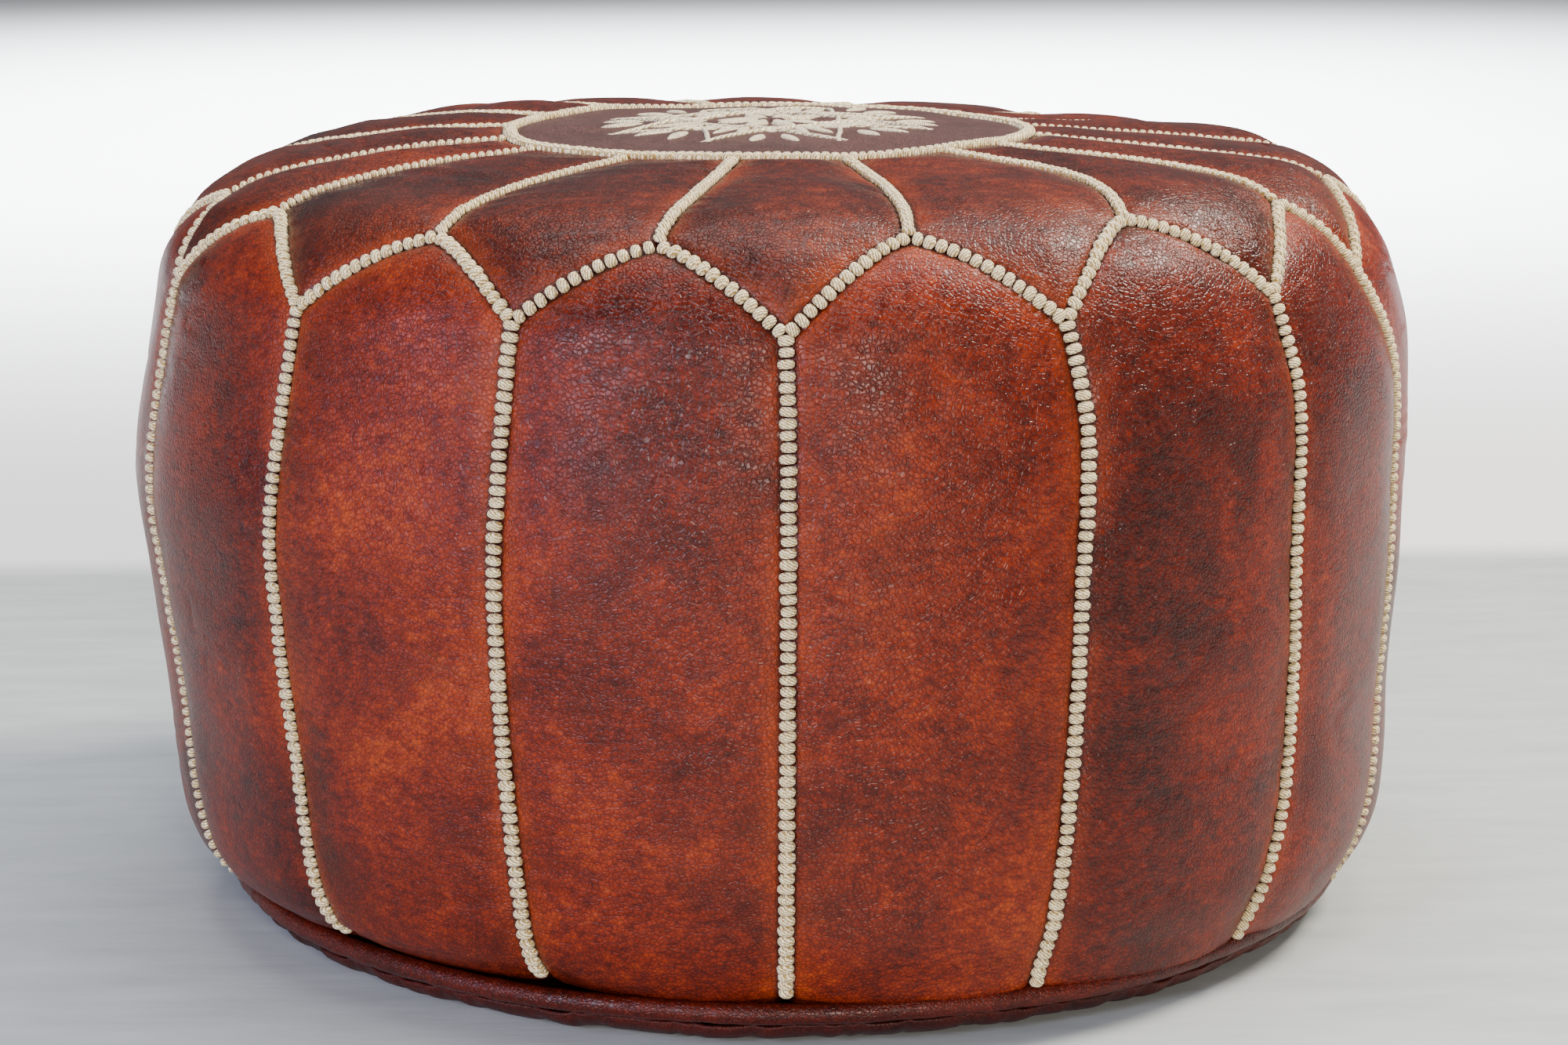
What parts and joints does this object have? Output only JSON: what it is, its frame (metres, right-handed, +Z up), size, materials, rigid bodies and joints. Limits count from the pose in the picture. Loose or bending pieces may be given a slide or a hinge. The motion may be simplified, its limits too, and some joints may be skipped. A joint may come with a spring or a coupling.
{
  "type": "moroccan leather pouf",
  "caption": "Stuffed round leather pouf: pointed side panels and petals joined by knotted braid seams, embroidered medallion on top, piped base closed by a zip.",
  "frame": {"origin": "on the floor under the middle of the base", "axes": "+Z up along the drum's axis, the front seam faces -Y, the zip under the base runs along X"},
  "size_m": [0.54, 0.54, 0.335],
  "materials": {
    "side_leather": "oiled vegetable-tanned goat leather, mottled brown",
    "petal_leather": "oiled vegetable-tanned goat leather, mottled brown",
    "medallion_leather": "oiled goat leather, darker",
    "base_leather": "plain goat leather",
    "piping_leather": "plain goat leather",
    "seam_thread": "cream silky thread",
    "embroidery_thread": "cream satin stitch",
    "cotton_lining": "plain cotton",
    "cotton_filling": "packed cotton waste",
    "cotton_cord": "twisted cotton cord",
    "zip_tape": "woven tape",
    "zip_teeth": "moulded",
    "zip_metal": "aged"
  },
  "bodies": {
    "pouf": {"base_panel_back": "base_leather", "base_panel_front": "base_leather", "filling": "cotton_filling", "inner_lining": "cotton_lining", "medallion": "medallion_leather", "medallion_braid_ring": "seam_thread", "medallion_embroidery": "embroidery_thread", "petal_braids": "seam_thread", "piping_cord": "cotton_cord", "piping_leather": "piping_leather", "scallop_braids": "seam_thread", "side_panel_01": "side_leather", "side_panel_02": "side_leather", "side_panel_03": "side_leather", "side_panel_04": "side_leather", "side_panel_05": "side_leather", "side_panel_06": "side_leather", "side_panel_07": "side_leather", "side_panel_08": "side_leather", "side_panel_09": "side_leather", "side_panel_10": "side_leather", "side_panel_11": "side_leather", "side_panel_12": "side_leather", "side_panel_13": "side_leather", "side_panel_14": "side_leather", "side_panel_15": "side_leather", "side_panel_16": "side_leather", "side_seam_braids": "seam_thread", "top_petal_01": "petal_leather", "top_petal_02": "petal_leather", "top_petal_03": "petal_leather", "top_petal_04": "petal_leather", "top_petal_05": "petal_leather", "top_petal_06": "petal_leather", "top_petal_07": "petal_leather", "top_petal_08": "petal_leather", "top_petal_09": "petal_leather", "top_petal_10": "petal_leather", "top_petal_11": "petal_leather", "top_petal_12": "petal_leather", "top_petal_13": "petal_leather", "top_petal_14": "petal_leather", "top_petal_15": "petal_leather", "top_petal_16": "petal_leather", "zip_stops": "zip_metal", "zip_tape_back": "zip_tape", "zip_tape_front": "zip_tape", "zip_teeth_back": "zip_teeth", "zip_teeth_front": "zip_teeth"},
    "slider": {"zip_slider": "zip_metal"},
    "pull": {"zip_pull": "zip_metal"}
  },
  "joints": [
    {"name": "slider_travel", "type": "slide", "parent": "pouf", "child": "slider", "axis": [-1, 0, 0], "range_m": [0, 0.25]},
    {"name": "pull_swing", "type": "hinge", "parent": "slider", "child": "pull", "pos_m": [0.125, 0, 0.0103], "axis": [0, -1, 0], "range_deg": [-18, 155]}
  ]
}
